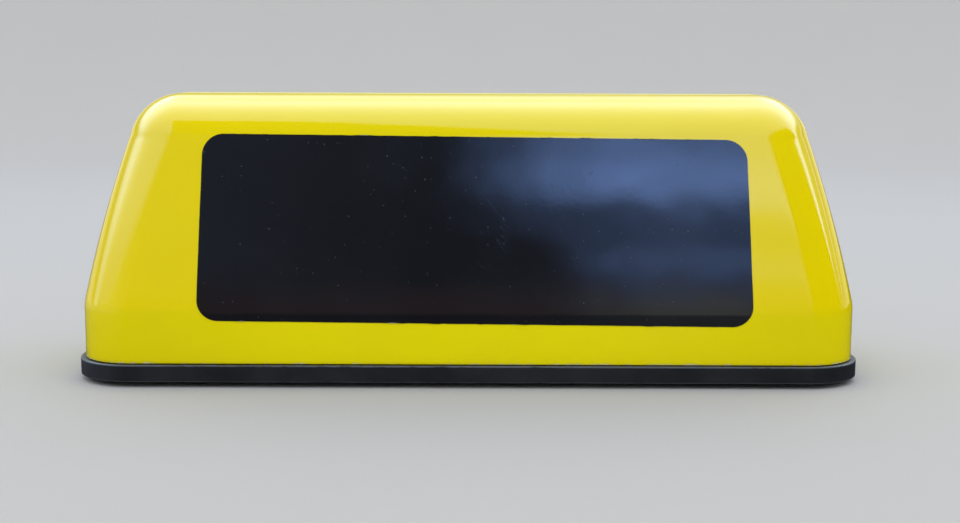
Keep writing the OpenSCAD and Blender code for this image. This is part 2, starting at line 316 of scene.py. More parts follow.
OUTLINE_SWEEP = geometry_tree(wire_outline_sweep, "Outline Sweep", {
    "Section": "geometry", "Width": "float", "Depth": "float", "Corner Steps": "int", "Closed Section": "bool"})
SET_OUT = geometry_tree(wire_set_out, "Set Out", {
    "Points": "geometry", "Pattern": "object", "Turn Spread": "float", "Seed": "int"})
LAID_FILM = geometry_tree(wire_laid_film, "Laid Film", {
    "Start": "geometry", "Hood": "object", "Middle": "vector", **dict.fromkeys(
        ("Width", "Height", "Corner", "Turn", "Side", "Stand Off", "Edge Waver", "Lean", "Flare", "Seed"),
        "float")})
COIL = geometry_tree(wire_coil, "Coil", {
    "Start": "geometry", "Middle": "vector",
    **dict.fromkeys(("Length", "Turns", "Coil Radius", "Wire Radius"), "float")})


# ---------------------------------------------------------------- shared surface effects
def effect_tree(wire, name, takes, *gives):
    """An effect shared by several finishes, all of plain numbers, wired up by a function of its bench, the
    place in the piece's own metres, and its inputs."""
    tree, b, ins, outs = new_tree(name, "ShaderNodeTree", dict.fromkeys(takes, "float"),
                                  dict.fromkeys(gives, "float"))
    place = b.put("ShaderNodeTexCoord").outputs["Object"]
    for label, value in zip(gives, wire(b, place, *(ins[label] for label in takes))):
        b.feed(outs[label], value)
    return tree


def wire_waves(b, place, wave_scale, peel_scale, peel_share):
    """Slow waves and a faint orange peel, as on a moulded glossy shell."""
    return [b.plus(b.noise(place, wave_scale, 1.0, 0.4), b.times(b.noise(place, peel_scale), peel_share))]


def wire_scratches(b, place, spacing, width, amount):
    """Long hairline scratches in three directions, broken into short runs."""
    total = None
    for turn, seed in ((0.35, 3.0), (1.25, 11.0), (2.3, 23.0)):
        turned = b.put("ShaderNodeVectorRotate", {"Vector": place, "Angle": turn}, rotation_type="Y_AXIS")
        drawn = b.vector("MULTIPLY", turned, (1.0, 1.0, 14.0))
        off = b.math("ABSOLUTE", b.less(b.noise(drawn, spacing, 0.0, seed=seed), 0.5))
        patch = b.noise(place, 34.0, 1.0, seed=seed + 1.0)
        run = b.remap(patch, b.less(0.74, b.times(amount, 0.2)), 0.76)
        mark = b.times(b.remap(off, 0.0, width, 1.0, 0.0), run)
        total = mark if total is None else b.math("MAXIMUM", total, mark)
    return [total]


def wire_dust(b, place, cells, size, share):
    """Specks of dust: a dot in some of the cells, each with its own size."""
    cell = b.put("ShaderNodeTexVoronoi", {"Vector": place, "Scale": cells}).outputs
    draw = b.put("ShaderNodeSeparateColor", {0: cell["Color"]}).outputs
    size = b.times(b.math("POWER", draw[0], 3.0), size)
    dot = b.remap(cell["Distance"], b.times(size, 0.4), b.plus(size, 0.002), 1.0, 0.0)
    return [b.times(dot, b.math("LESS_THAN", draw[1], share))]


def wire_edge_wear(b, place, amount, nick_scale):
    """Rubbed and nicked edges: the piece's own edge mark, broken up by noise."""
    edge = b.put("ShaderNodeAttribute", attribute_name="edge").outputs["Fac"]
    nicks, broad = b.noise(place, nick_scale, 4.0, 0.7), b.noise(place, 22.0, 1.0)
    draw = b.plus(b.times(nicks, 0.7), b.times(broad, 0.3))
    return [b.remap(b.plus(b.times(edge, amount), b.less(draw, 1.0)), 0.0, 0.12)]


def wire_grain(b, place, scale, roughness):
    """Fine moulded or cast grain, and a slow mottle for the colour."""
    return [b.noise(place, scale, 3.0, roughness), b.noise(place, 38.0, 4.0, 0.6)]


WAVY = effect_tree(wire_waves, "Wavy Moulding", ["Wave Scale", "Peel Scale", "Peel Share"], "Height")
SCRATCHES = effect_tree(wire_scratches, "Hair Scratches", ["Spacing", "Width", "Amount"], "Mask")
DUST = effect_tree(wire_dust, "Dust Specks", ["Cells", "Size", "Share"], "Mask")
WEAR = effect_tree(wire_edge_wear, "Edge Wear", ["Amount", "Nick Scale"], "Mask")
GRAIN = effect_tree(wire_grain, "Fine Grain", ["Scale", "Roughness"], "Height", "Mottle")


# ---------------------------------------------------------------- finishes
class Finish(Bench):
    """A material with one Principled shader, and the shared effects placed around it."""

    def __init__(self, name, **constants):
        self.material = bpy.data.materials.new(name)
        self.material.use_nodes = True
        super().__init__(self.material.node_tree)
        self.shader = self.tree.nodes["Principled BSDF"]
        for label, value in constants.items():
            self.gives(label.replace("_", " "), value)

    def gives(self, label, value):
        self.feed(self.shader.inputs[label], value)

    def place(self):
        return self.put("ShaderNodeTexCoord").outputs["Object"]

    def effect(self, tree, **values):
        """An effect's output, or the list of them where it has several."""
        node = self.put("ShaderNodeGroup", node_tree=tree)
        for label, value in values.items():
            self.feed(node.inputs[label.replace("_", " ")], value)
        return node.outputs[0] if len(node.outputs) == 1 else list(node.outputs)

    def laid(self, colour, mask, share, tint):
        """The colour with a share of the tint over it where the mask shows."""
        return self.mix(self.times(mask, share), colour, tint)

    def sunk(self, mask, depth):
        """A layer of relief that goes in where the mask shows."""
        return self.times(mask, -1.0), depth

    def done(self, colour, rough, *layers):
        """Sets the colour, the roughness and layers of relief, each a height and its depth in metres."""
        normal = None
        for height, depth in layers:
            node = self.put("ShaderNodeBump", {"Height": height, "Strength": 1.0, "Distance": depth})
            if normal is not None:
                self.feed(node.inputs["Normal"], normal)
            normal = node.outputs[0]
        for label, value in (("Base Color", colour), ("Roughness", rough), ("Normal", normal)):
            self.gives(label, value)
        return self.material


def yellow_shell():
    f = Finish("yellow_translucent_acrylic", IOR=1.49)
    place = f.place()
    axes = f.parts(place)
    # Painted light: below the fold the skirt is painted brighter, in place of light it gets too little of. Toward
    # the ends the colour is painted more orange, and darker on the skirt, as painted shade.
    ends_painted_shade = f.remap(f.math("ABSOLUTE", axes[0]), 0.05, 0.2)
    low = f.remap(axes[2], 0.036, 0.046, 1.0, 0.0)
    colour = f.mix(ends_painted_shade, (0.89, 0.755, 0.001), (0.915, 0.74, 0.001))
    skirt = f.mix(ends_painted_shade, (1.0, 0.885, 0.001), (0.91, 0.785, 0.001))
    colour = f.mix(low, colour, skirt)
    mottle = f.remap(f.noise(place, 28.0, 3.0), 0.3, 0.7)
    colour = f.laid(colour, mottle, 0.05, (0.62, 0.5, 0.0))
    dust = f.effect(DUST, Cells=420.0, Size=0.16, Share=0.35)
    chips = f.effect(WEAR, Amount=0.52, Nick_Scale=260.0)
    scratches = f.effect(SCRATCHES, Spacing=42.0, Width=0.0035, Amount=0.4)
    colour = f.laid(colour, dust, 0.35, (0.5, 0.47, 0.36))
    colour = f.laid(colour, chips, 0.75, (0.93, 0.9, 0.6))
    rough = f.plus(f.plus(0.045, f.times(mottle, 0.03)), f.times(f.math("MAXIMUM", dust, chips), 0.4))
    waves = f.effect(WAVY, Wave_Scale=24.0, Peel_Scale=520.0, Peel_Share=0.012)
    return f.done(colour, rough, (waves, 0.00022), f.sunk(scratches, 0.000004), f.sunk(chips, 0.0001))


def black_film():
    f = Finish("glossy_black_film", IOR=1.7)
    dust = f.effect(DUST, Cells=600.0, Size=0.25, Share=0.42)
    scratches = f.effect(SCRATCHES, Spacing=30.0, Width=0.0022, Amount=0.6)
    smear = f.remap(f.noise(f.place(), 16.0, 4.0), 0.35, 0.7)
    colour = f.mix(f.times(smear, 0.5), (0.0035, 0.0042, 0.006), (0.007, 0.0085, 0.012))
    colour = f.laid(colour, dust, 0.42, (0.22, 0.22, 0.23))
    colour = f.laid(colour, scratches, 0.12, (0.25, 0.25, 0.27))
    rough = f.plus(f.plus(0.05, f.times(smear, 0.05)), f.times(dust, 0.4))
    waves = f.effect(WAVY, Wave_Scale=30.0, Peel_Scale=420.0, Peel_Share=0.02)
    return f.done(colour, rough, (waves, 0.0002), f.sunk(scratches, 0.000006))


def black_moulding():
    f = Finish("satin_black_moulding", IOR=1.5)
    grain, mottle = f.effect(GRAIN, Scale=1700.0, Roughness=0.6)
    worn = f.effect(WEAR, Amount=0.62, Nick_Scale=300.0)
    scuffs = f.effect(SCRATCHES, Spacing=60.0, Width=0.01, Amount=0.9)
    dust = f.effect(DUST, Cells=300.0, Size=0.2, Share=0.4)
    colour = f.mix(f.remap(mottle, 0.3, 0.7), (0.012, 0.013, 0.017), (0.02, 0.022, 0.028))
    colour = f.laid(colour, worn, 0.5, (0.12, 0.13, 0.15))
    colour = f.laid(colour, dust, 0.5, (0.2, 0.19, 0.17))
    rough = f.plus(f.plus(0.26, f.times(mottle, 0.14)), f.times(scuffs, 0.15))
    return f.done(colour, rough, (grain, 0.00002), f.sunk(scuffs, 0.00001), f.sunk(worn, 0.00008))


def plain_finish(name, light, dark, rough, grain_scale, grain_depth, metal=0.0, worn_to=None, dust_share=0.3):
    """Rubber, metal, enamel and nylon: a mottled colour, grain, worn edges and dust, each in its own measure."""
    f = Finish(name, Metallic=metal)
    grain, mottle = f.effect(GRAIN, Scale=grain_scale, Roughness=0.55)
    worn = f.effect(WEAR, Amount=0.6, Nick_Scale=420.0)
    dust = f.effect(DUST, Cells=500.0, Size=0.2, Share=dust_share)
    colour = f.mix(f.remap(mottle, 0.3, 0.7), light, dark)
    colour = f.laid(colour, worn, 0.6, worn_to or light)
    colour = f.laid(colour, dust, 0.4, (0.32, 0.3, 0.27))
    rough = f.plus(f.plus(rough, f.times(mottle, 0.16)), f.times(dust, 0.2))
    return f.done(colour, rough, (grain, grain_depth), f.sunk(worn, 0.00005))


def lamp_glass():
    f = Finish("lamp_glass", Transmission_Weight=1.0, IOR=1.5)
    smear = f.noise(f.place(), 180.0, 3.0)
    colour = f.mix(smear, (0.97, 0.98, 1.0), (0.92, 0.94, 0.95))
    return f.done(colour, f.remap(smear, 0.35, 0.8, 0.01, 0.09), (smear, 0.00002))


def studio_floor():
    f = Finish("pale_floor", IOR=1.3)
    place = f.place()
    colour = f.mix(f.noise(place, 6.0, 3.0), (0.52, 0.52, 0.52), (0.535, 0.535, 0.535))
    return f.done(colour, 0.85, (f.noise(place, 900.0), 0.0001))


YELLOW, FILM, MOULDING = yellow_shell(), black_film(), black_moulding()
RUBBER = plain_finish("black_rubber", (0.014, 0.014, 0.015), (0.024, 0.024, 0.025), 0.55, 1400.0, 0.00003,
                      worn_to=(0.07, 0.07, 0.068), dust_share=0.5)
ZINC = plain_finish("bright_zinc_plate", (0.72, 0.73, 0.75), (0.55, 0.56, 0.57), 0.22, 900.0, 0.00001, metal=1.0)
BRASS = plain_finish("rolled_brass", (0.80, 0.60, 0.26), (0.62, 0.43, 0.17), 0.2, 700.0, 0.00001, metal=1.0)
ENAMEL = plain_finish("white_enamel", (0.82, 0.82, 0.78), (0.76, 0.75, 0.69), 0.2, 500.0, 0.00002,
                      worn_to=(0.5, 0.49, 0.45))
NYLON = plain_finish("natural_nylon", (0.72, 0.71, 0.63), (0.66, 0.64, 0.55), 0.35, 1100.0, 0.00002)
TUNGSTEN = plain_finish("lamp_wire", (0.3, 0.3, 0.31), (0.2, 0.2, 0.21), 0.3, 2000.0, 0.000004, metal=1.0)
GLASS, FLOOR = lamp_glass(), studio_floor()


# ---------------------------------------------------------------- making pieces
def put_in_scene(name, data):
    piece = bpy.data.objects.new(name, data)
    scene.collection.objects.link(piece)
    return piece


def as_shown(piece):
    """A plain mesh of the piece as its curve or its modifiers make it."""
    bpy.context.view_layer.update()
    return bpy.data.meshes.new_from_object(piece.evaluated_get(bpy.context.evaluated_depsgraph_get()))


def baked(piece):
    """Leaves a plain mesh, as the piece's modifiers make it, with no empty place for a finish."""
    mesh = as_shown(piece)
    mesh.name = piece.name
    for index in reversed(range(len(mesh.materials))):
        if mesh.materials[index] is None:
            mesh.materials.pop(index=index)
    piece.modifiers.clear()
    piece.data = mesh
    return piece


def run_tree(piece, tree, **sizes):
    """Runs a geometry tree on a piece with these sizes."""
    modifier = piece.modifiers.new(tree.name, "NODES")
    modifier.node_group = tree
    for item in tree.interface.items_tree:
        label = item.name.replace(" ", "_")
        if item.item_type == "SOCKET" and item.in_out == "INPUT" and label in sizes:
            modifier[item.identifier] = sizes[label]
    return baked(piece)


def finished(piece, *steps):
    """Applies finishing modifiers, given as a kind and its settings."""
    for kind, settings in steps:
        modifier = piece.modifiers.new(kind, kind)
        for key, value in settings.items():
            setattr(modifier, key, value)
    return baked(piece)


def smooth(piece, angle=40):
    """Smooth faces, creased where they meet at more than the angle."""
    piece.data.shade_smooth()
    piece.data.set_sharp_from_angle(angle=math.radians(angle))
    return piece


def tossed(*pieces):
    for piece in pieces:
        mesh = piece.data
        bpy.data.objects.remove(piece)
        if mesh and mesh.users == 0:
            bpy.data.meshes.remove(mesh)


def joined(name, *parts):
    """One mesh from several, each keeping its finish and its marks."""
    bpy.ops.object.select_all(action="DESELECT")
    for part in parts:
        part.select_set(True)
    bpy.context.view_layer.objects.active = parts[0]
    if len(parts) > 1:
        bpy.ops.object.join()
    parts[0].name = parts[0].data.name = name
    return parts[0]


def reworked(piece, work):
    """Opens the piece's mesh for editing, lets the work change it, and closes it again."""
    built = bmesh.new()
    built.from_mesh(piece.data)
    work(built)
    built.to_mesh(piece.data)
    built.free()
    return piece


def cut_from(piece, cutter, operation="DIFFERENCE"):
    piece = finished(piece, ("BOOLEAN", {"operation": operation, "object": cutter, "solver": "EXACT"}))
    tossed(cutter)
    return piece


def reshaped(piece, rule):
    """Moves each vertex to where the rule puts its x, y and z, in metres."""
    for vertex in piece.data.vertices:
        vertex.co = rule(*vertex.co)
    return piece


def turned_over(piece):
    """The piece mirrored about the floor's plane, with its faces still looking outward."""
    reshaped(piece, lambda x, y, z: (x, y, -z)).data.flip_normals()
    return piece


def from_bmesh(name, built, finish):
    bmesh.ops.recalc_face_normals(built, faces=built.faces[:])
    mesh = bpy.data.meshes.new(name)
    built.to_mesh(mesh)
    built.free()
    mesh.materials.append(finish)
    return put_in_scene(name, mesh)


def merged(built, reach):
    """Makes one point of points that meet."""
    bmesh.ops.remove_doubles(built, verts=built.verts[:], dist=reach)


def bevelled(built, width):
    bmesh.ops.bevel(built, geom=built.edges[:], offset=width * MM, segments=2, affect="EDGES", profile=0.5)


def block(name, low, high, finish, ease=0.4):
    """A moulded block between two corners, with eased edges."""
    built = bmesh.new()
    bmesh.ops.create_cube(built, size=1.0)
    for vertex in built.verts:
        vertex.co = [(low[i] if vertex.co[i] < 0 else high[i]) * MM for i in range(3)]
    if ease:
        bevelled(built, ease)
    return smooth(from_bmesh(name, built, finish), 50)


def eased(corners, ease=0.5, closed=True, steps=3):
    """Rounds the corners of a section given as (outward, height), and marks the outer ones as edges that wear.
    A corner may give its own rounding as a third number. The section runs up its outside."""
    out = []
    count = len(corners)
    for i, corner in enumerate(corners):
        here = Vector(corner[:2])
        size = corner[2] if len(corner) > 2 else ease
        if (not closed and i in (0, count - 1)) or size <= 0:
            out.append((here.x, here.y, 0.0))
            continue
        back = Vector(corners[i - 1][:2]) - here
        on = Vector(corners[(i + 1) % count][:2]) - here
        turn = back.normalized().cross(on.normalized())
        reach = min(size, back.length * 0.42, on.length * 0.42)
        start, end = here + back.normalized() * reach, here + on.normalized() * reach
        wear = 1.0 if turn < -0.05 else 0.0
        out.append((*(start + back.normalized() * reach * 0.3), wear * 0.3))
        for s in range(steps + 1):
            t = s / steps
            spot = start.lerp(here, t).lerp(here.lerp(end, t), t)
            out.append((spot.x, spot.y, wear))
        out.append((*(end + on.normalized() * reach * 0.3), wear * 0.3))
    return out


def swept(name, section, width, depth, finish, steps=14, closed=True):
    """A section of (inboard at ends, inboard at faces, height, plan radius, wear) carried round an outline."""
    mesh = bpy.data.meshes.new(name)
    links = [(i, i + 1) for i in range(len(section) - 1)]
    mesh.from_pydata(mm_points([p[:3] for p in section]), links, [])
    mesh.attributes.new("plan_radius", "FLOAT", "POINT").data.foreach_set("value", [p[3] * MM for p in section])
    mesh.attributes.new("edge", "FLOAT", "POINT").data.foreach_set("value", [p[4] for p in section])
    piece = run_tree(put_in_scene(name, mesh), OUTLINE_SWEEP, Width=width * MM, Depth=depth * MM,
                     Corner_Steps=steps, Closed_Section=closed, Finish=finish)
    return smooth(piece)


def banded(name, outline, finish):
    """A closed section of (outward, height, wear) carried round the base band, whose skin is at outward 0."""
    section = [(-out, -out, z, BAND_R + out, wear) for out, z, wear in outline]
    return swept(name, section, BASE_W, BASE_D, finish, steps=18)


def turned(name, outline, finish, steps=9, closed=False):
    """A round part from its half section of (radius, height, wear), drawn as an open or a closed line."""
    section = [(-radius, -radius, z, radius, wear) for radius, z, wear in outline]
    return swept(name, section, 0.0, 0.0, finish, steps, closed)


def set_out(name, pattern, places, finish, spread=0.0, seed=1):
    """Copies of a pattern piece at these places."""
    points = bpy.data.meshes.new(name)
    points.from_pydata(mm_points(places), [], [])
    piece = run_tree(put_in_scene(name, points), SET_OUT, Pattern=pattern, Turn_Spread=float(spread),
                     Seed=seed, Finish=finish)
    return smooth(piece)


def plate(name, outlines, z_low, z_high, finish, ease=0.0):
    """A flat plate from closed outlines: the first is its edge and the others are holes."""
    curve = bpy.data.curves.new(name, "CURVE")
    curve.dimensions, curve.fill_mode = "2D", "BOTH"
    curve.extrude = (z_high - z_low) / 2 * MM - ease * MM
    curve.bevel_depth, curve.bevel_resolution = ease * MM, 1
    for outline in outlines:
        spline = curve.splines.new("POLY")
        spline.points.add(len(outline) - 1)
        for point, (x, y) in zip(spline.points, outline):
            point.co = (x * MM, y * MM, 0, 1)
        spline.use_cyclic_u = True
    drawn = put_in_scene(name, curve)
    mesh = as_shown(drawn)
    bpy.data.objects.remove(drawn)
    bpy.data.curves.remove(curve)
    built = bmesh.new()
    built.from_mesh(mesh)
    bpy.data.meshes.remove(mesh)
    merged(built, 1e-6)
    for vertex in built.verts:
        vertex.co.z += (z_low + z_high) / 2 * MM
    return smooth(from_bmesh(name, built, finish), 30)


def circle(x, y, radius, count=40):
    turns = [2 * math.pi * i / count for i in range(count)]
    return [(x + radius * math.cos(a), y + radius * math.sin(a)) for a in turns]


def rounded_rectangle(width, depth, radius, steps=14):
    points = []
    for quarter, (sx, sy) in enumerate(((1, 1), (-1, 1), (-1, -1), (1, -1))):
        for s in range(steps + 1):
            a = (quarter + s / steps) * QUARTER
            points.append((sx * (width / 2 - radius) + radius * math.cos(a),
                           sy * (depth / 2 - radius) + radius * math.sin(a)))
    return points


def quarter_bend(steps=6):
    """The angles through a quarter bend, after its start."""
    return [QUARTER * i / steps for i in range(1, steps + 1)]


def shown(piece, body, slot, *nodes):
    """Says what the piece rides on and which solids it stands for. The slot, naming what it is finished in, is
    not used.
    """
    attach(piece, body)
    if nodes:
        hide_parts(*nodes)


# ---------------------------------------------------------------- the hood's shape
SLOPE_RUN = math.hypot(TOP_INSET, BALL_Z - FOLD_Z)
SLOPE = math.atan2(TOP_INSET, BALL_Z - FOLD_Z) - math.asin(TOP_R / SLOPE_RUN)
SLOPE_TOP_Z = BALL_Z + TOP_R * math.sin(SLOPE)
SLOPE_TOP_IN = TOP_INSET - TOP_R * math.cos(SLOPE)


def face_lean(z, crown):
    """How far the hood's skin lies inboard of the skirt at a height: fold, crowned slope, top rounding."""
    over = z - FOLD_Z
    if over <= -FOLD_EASE:
        return 0.0
    if over < FOLD_EASE:
        over = (over + FOLD_EASE) ** 2 / (4 * FOLD_EASE)
    t = over / (SLOPE_TOP_Z - FOLD_Z)
    slope = SLOPE_TOP_IN * t - 4 * crown * t * max(0.0, 1 - t)
    if z < BALL_Z:
        return slope
    arc = TOP_INSET - math.sqrt(max(0.0, TOP_R ** 2 - (z - BALL_Z) ** 2))
    return min(arc, slope) if z < SLOPE_TOP_Z else arc


def convex(points):
    """The lower hull of (height, lean) points, so that the slope runs into the top rounding without a dip."""
    hull = []
    for p in points:
        while len(hull) > 1:
            (az, al), (bz, bl) = hull[-2], hull[-1]
            if (bz - az) * (p[1] - al) - (bl - al) * (p[0] - az) > 0:
                break
            hull.pop()
        hull.append(p)
    return hull


def between(points, z):
    for (az, al), (bz, bl) in zip(points, points[1:]):
        if az <= z <= bz:
            return al + (bl - al) * (z - az) / (bz - az)
    return points[-1][1]


def moved_out(section, grow):
    """A section moved out along its own normal."""
    grown = []
    for i, (end, face, z, radius, wear) in enumerate(section):
        before, after = section[max(0, i - 1)], section[min(len(section) - 1, i + 1)]
        rise = after[2] - before[2]
        lean = math.atan2(after[1] - before[1], rise) if rise > 0 else QUARTER
        if z >= HOOD_TOP - 1e-6:
            lean = QUARTER
        out = grow * math.cos(lean)
        grown.append([end - out, face - out, z + grow * math.sin(lean), radius + out, wear])
    return grown


def hood_section(grow=0.0):
    """The hood's skin from below its fold to the ridge, moved out by grow."""
    skirt, start = 22, 20
    heights = [FOLD_Z - skirt + skirt * i / 8 - FOLD_EASE for i in range(9)]
    heights += [FOLD_Z - FOLD_EASE + 2 * FOLD_EASE * i / 14 for i in range(1, 15)]
    heights += [FOLD_Z + FOLD_EASE + (SLOPE_TOP_Z - FOLD_Z - FOLD_EASE) * i / 44 for i in range(1, 44)]
    heights += [BALL_Z + TOP_R * math.sin(SLOPE + (QUARTER - SLOPE) * i / 36) for i in range(37)]
    fine = [FOLD_Z - start + (HOOD_TOP - FOLD_Z + start) * i / 900 for i in range(901)]
    end_lean, side_lean = [convex([(z, face_lean(z, crown)) for z in fine]) for crown in (END_CROWN, FACE_CROWN)]
    section = []
    for z in heights:
        t = min(1.0, max(0.0, (z - FOLD_Z) / (SLOPE_TOP_Z - FOLD_Z)))
        end, face = (0.0, 0.0) if z <= fine[0] else (between(end_lean, z), between(side_lean, z))
        radius = CORNER_R + (TOP_R * math.cos(SLOPE) - CORNER_R) * t
        if z >= SLOPE_TOP_Z:
            end = face = face_lean(z, 0.0)
            radius = TOP_INSET - end
        section.append([end, face, z, radius, 0.0])
    if grow:
        section = moved_out(section, grow)
    top = section[-1][2]
    section[-1] = [TOP_INSET, TOP_INSET, top, 0.0, section[-1][4]]
    return section + [[end, end, top, 0.0, 0.0] for end in (TOP_INSET + 3, TOP_INSET + 7, HOOD_D / 2)]


# ---------------------------------------------------------------- the hood and what is fixed to it
def make_hood():
    foot = HOOD_FOOT
    lip = [(HOOD_WALL, REBATE_Z, 0), (LIP_T + 0.2, REBATE_Z, 0), (LIP_T, REBATE_Z - 0.2, 0),
           (LIP_T, foot + 0.25, 0.5), (LIP_T - 0.2, foot, 1), (0.45, foot, 1), (0.12, foot + 0.12, 1),
           (0, foot + 0.45, 1), (0, foot + 0.9, 0.85), (0, foot + 1.6, 0.3)]
    outside = [(i, i, z, CORNER_R - i, wear) for i, z, wear in lip] + hood_section()
    inside = hood_section(grow=-HOOD_WALL)[::-1] + [(HOOD_WALL, HOOD_WALL, REBATE_Z, CORNER_R - HOOD_WALL, 0)]
    skins = [swept("hood_skin", skin, HOOD_W, HOOD_D, YELLOW, steps=22, closed=False)
             for skin in (outside, inside)]
    shell = reworked(joined("hood_shell", *skins), lambda built: merged(built, 4e-6))
    low, floor, high = 46.0, 24.0, 58.0
    outline = eased([(0, low), (2, low), (2, floor), (6.5, floor), (6.5, high), (0, high)], 0.35, closed=False)
    boss = turned("boss", outline, YELLOW)
    bosses = set_out("bosses", boss, at_corners(SCREW_X, SCREW_Y), YELLOW)
    tossed(boss)
    # The bosses end inside the shell's wall, so each is trimmed by a form halfway through it.
    half, closing_z = HOOD_WALL / 2, 14.0
    closing = [(HOOD_D / 2, HOOD_D / 2, closing_z, 0.0, 0.0), (half, half, closing_z, CORNER_R - half, 0.0)]
    form = swept("inner_form", closing + hood_section(grow=-half), HOOD_W, HOOD_D, YELLOW, steps=22, closed=False)
    bosses = smooth(cut_from(bosses, form, "INTERSECT"))
    return smooth(joined("hood_shell", shell, bosses), 50)


def lay_film(name, side, shift, turn, seed, lean=0.0, flare=0.0):
    film = put_in_scene(name, bpy.data.meshes.new(name))
    film = run_tree(film, LAID_FILM, Hood=hood, Width=FILM_W * MM, Height=(FILM_HIGH - FILM_LOW) * MM,
                    Corner=FILM_CORNER * MM, Middle=mm_points([(shift, 0, (FILM_LOW + FILM_HIGH) / 2)])[0],
                    Turn=turn, Side=float(side), Stand_Off=FILM_T * MM, Edge_Waver=FILM_WAVER * MM,
                    Lean=lean, Flare=flare, Seed=seed, Finish=FILM)

    def face_outward(built):
        built.normal_update()
        if sum(face.normal.y * face.calc_area() for face in built.faces) * side < 0:
            bmesh.ops.reverse_faces(built, faces=built.faces[:])

    film = reworked(film, face_outward)
    return smooth(finished(film, ("SOLIDIFY", {"thickness": FILM_T * MM * 0.85, "offset": -1.0})), 60)


hood = make_hood()
front_film = lay_film("front_display_film", -1, FILM_SHIFT, FILM_TURN, 3.0, FILM_LEAN, FILM_FLARE)
rear_film = lay_film("rear_display_film", 1, 0.0, 0.0, 8.0)
shown(hood, "hood", "hood", "hood")
shown(front_film, "hood", "film", "front_film")
shown(rear_film, "hood", "film", "rear_film")


# ---------------------------------------------------------------- the base
def make_base():
    inner = RIM_INSET + RIM_T
    ring = eased([
        (0, FOOT_Z), (0, LEDGE_Z, 0.7), (-RIM_INSET, LEDGE_Z, 0.3), (-RIM_INSET, RIM_TOP, 0.5),
        (-inner, RIM_TOP, 0.5), (-inner, LEDGE_Z, 0), (-inner, DECK_Z, 0), (-WALL, DECK_Z, 0.3), (-WALL, FOOT_Z)])
    notch = block("notch", (65, 58, 1), (75, 70, 7.5), MOULDING, 0)
    band = smooth(cut_from(banded("base_moulding", ring, MOULDING), notch))
    edge = rounded_rectangle(BASE_W - 2 * inner + 2, BASE_D - 2 * inner + 2, BAND_R - inner + 1)
    holes = [circle(x, y, 2.1) for x, y, _ in at_corners(MAGNET_X, MAGNET_Y)]
    holes += [circle(x, y, 2.3) for x, y, _ in at_corners(SCREW_X, SCREW_Y)]
    holes.append(circle(BUSH_X, BUSH_Y, BUSH_HOLE))
    deck = plate("deck", [edge] + holes, DECK_Z + 0.04, LEDGE_Z - 0.04, MOULDING)
    half_w, half_d = (BASE_W - WALL) / 2, (BASE_D - WALL) / 2
    rib = block("rib", (-1, -half_d, DECK_Z - 5), (1, half_d, DECK_Z + 0.5), MOULDING, 0.35)
    ribs = set_out("ribs", rib, [(x, 0, 0) for x in range(-175, 176, 70)], MOULDING)
    long_rib = block("long_rib", (-half_w, -1, DECK_Z - 5.02), (half_w, 1, DECK_Z + 0.4), MOULDING, 0.35)
    bore, low, top = 2.3, 11.5, 23.0
    pillar = turned("pillar", eased([(bore, low), (6.0, low, 0), (5.0, 13.2, 0.8), (5.0, top, 0.5),
                                     (bore, top, 0.3)], 0.0), MOULDING, closed=True)
    pillars = set_out("pillars", pillar, at_corners(SCREW_X, SCREW_Y), MOULDING)
    post = turned("post", eased([(0, 11.2), (4.8, 11.2, 0), (4.0, 12.8, 0.6), (4.0, POST_TOP, 0.3),
                                 (0, POST_TOP)], 0, closed=False), MOULDING)
    posts = set_out("posts", post, at_corners(POST_X, POST_Y), MOULDING)
    tossed(rib, pillar, post)
    return joined("base_moulding", band, deck, ribs, long_rib, pillars, posts)


shown(make_base(), "base", "base", "base_tray")
SEAL_TOP = REBATE_Z - 0.1
seal = eased([(-4.0, LEDGE_Z), (-4.0, SEAL_TOP), (-5.7, SEAL_TOP), (-5.7, LEDGE_Z)], 0.35)
shown(banded("seal_strip", seal, RUBBER), "base", "rubber", "hood_seal")


# ---------------------------------------------------------------- screws, magnets and the cable's bush
def cross_recess(reach, low, high, finish):
    """A cross-shaped cutter for a screw's driving recess."""
    half = 0.55
    arms = [block("arm", (-x, -y, low), (x, y, high), finish, 0) for x, y in ((reach, half), (half, reach))]
    return cut_from(arms[0], arms[1], "UNION")


def threaded(radius, low, high, pitch=1.25):
    """Points up a screw's shaft, with its thread."""
    points, z = [], low
    while z < high - pitch:
        points += [(radius, z + 0.25 * pitch, 0), (radius * 0.84, z + 0.75 * pitch, 0)]
        z += pitch
    return points + [(radius * 0.5, high - 0.1, 0), (0, high, 0)]


def make_screw(name, head_r, head_h, bottom, shaft_r, top, finish=ZINC):
    """A pan-headed screw with a cross recess. Its head faces down."""
    under = bottom + head_h
    head = eased([(0, bottom), (head_r, bottom, head_h * 0.7), (head_r, under, 0.15), (shaft_r, under, 0),
                  (shaft_r, top)], 0.2, closed=False)[:-1]
    screw = turned(name, head + threaded(shaft_r, under + 0.8, top), finish)
    recess = cross_recess(head_r * 0.55, bottom - 1, bottom + head_h * 0.55, finish)
    return smooth(cut_from(screw, recess))


def make_nut(bottom, height, radius, finish):
    built = bmesh.new()
    bmesh.ops.create_cone(built, segments=6, cap_ends=True, radius1=radius * MM, radius2=radius * MM,
                          depth=height * MM)
    bmesh.ops.translate(built, verts=built.verts[:], vec=(0, 0, (bottom + height / 2) * MM))
    bevelled(built, 0.25)
    return smooth(from_bmesh("nut", built, finish), 30)


